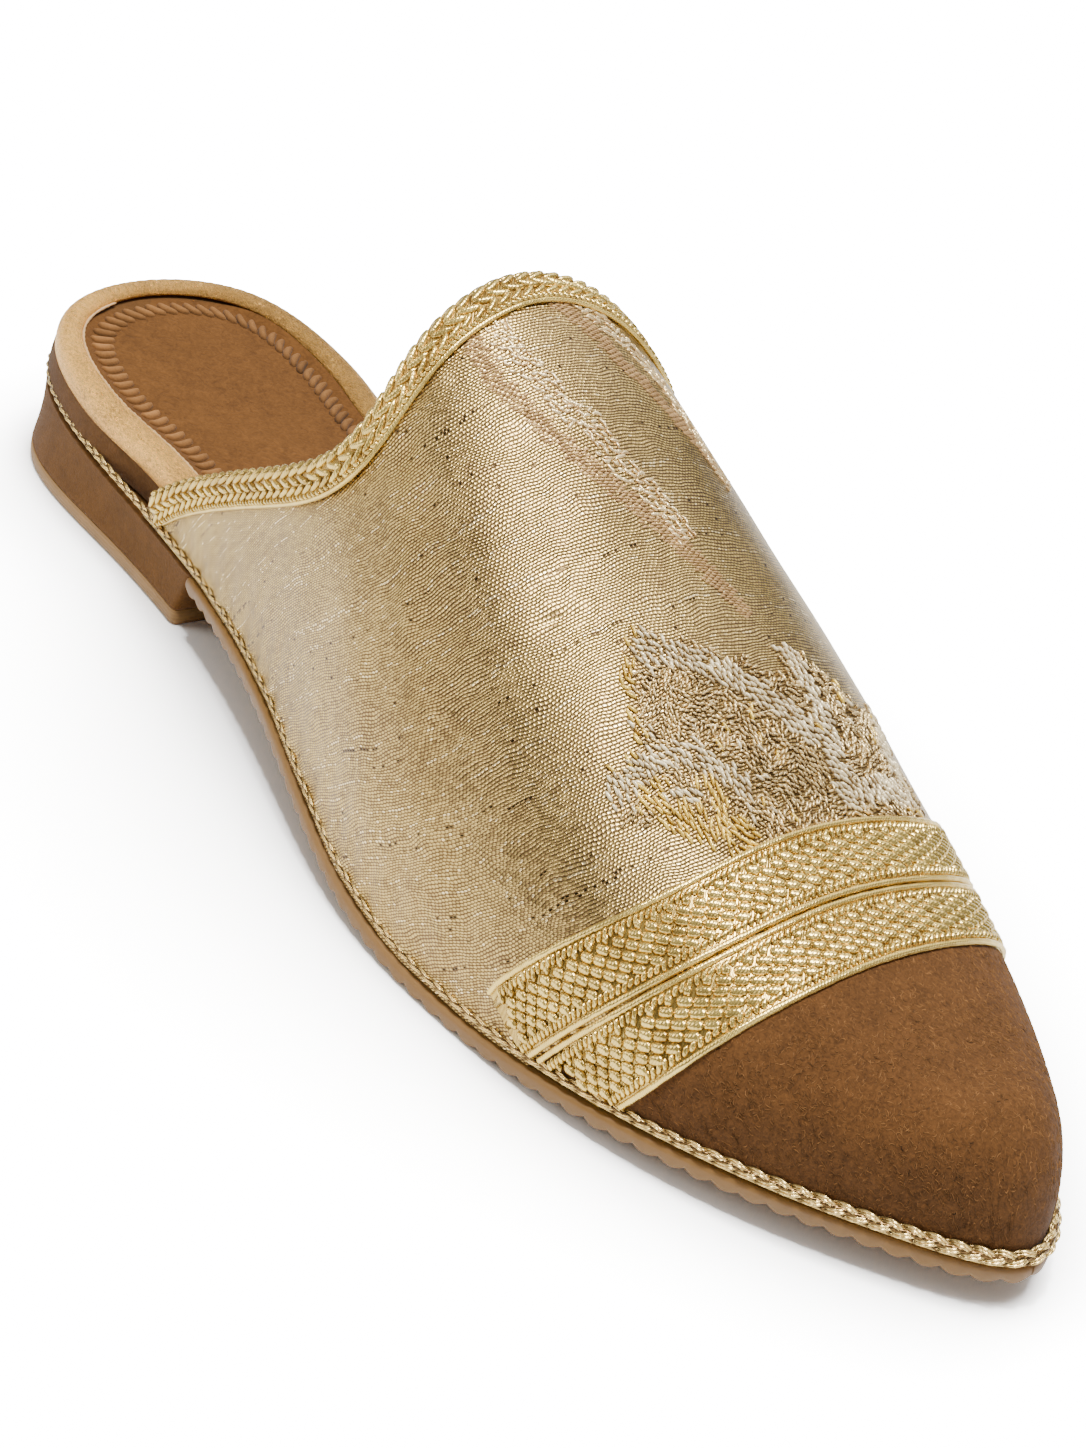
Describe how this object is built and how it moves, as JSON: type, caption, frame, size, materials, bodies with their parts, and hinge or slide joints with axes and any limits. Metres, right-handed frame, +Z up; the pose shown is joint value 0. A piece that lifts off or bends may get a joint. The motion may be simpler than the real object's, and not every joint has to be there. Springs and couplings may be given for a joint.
{
  "type": "babouche slipper",
  "caption": "Backless pointed slipper on a low heel: hollow vamp open at the collar, suede toe cap, braid bands, corded rand and a padded footbed with a sock.",
  "frame": {"origin": "on the floor under the middle of the slipper's overall length and width", "axes": "+X from heel to toe, +Y to the wearer's left, +Z up"},
  "size_m": [0.2704, 0.0928, 0.0849],
  "materials": {
    "lift_leather": "plain tan leather, cut edge",
    "heel_suede": "brown suede",
    "sole_gum": "smooth tan gum",
    "cord_metallic": "rose-gold metallic cord",
    "footbed_suede": "brown suede",
    "rim_leather": "brushed champagne metallic leather",
    "sock_suede": "brown suede",
    "vamp_brocade": "champagne-gold brocade",
    "cap_suede": "brown suede",
    "braid_gold": "gold metallic braid"
  },
  "bodies": {
    "root": {"heel_top_lift": "lift_leather", "heel_block": "heel_suede", "outsole": "sole_gum", "rand_cord": "cord_metallic", "footbed": "footbed_suede", "insole_rim": "rim_leather", "insole_sock": "sock_suede", "upper": "vamp_brocade", "toe_cap": "cap_suede", "toe_band_rear": "braid_gold", "toe_band_front": "braid_gold", "collar_binding": "braid_gold"}
  },
  "joints": []
}
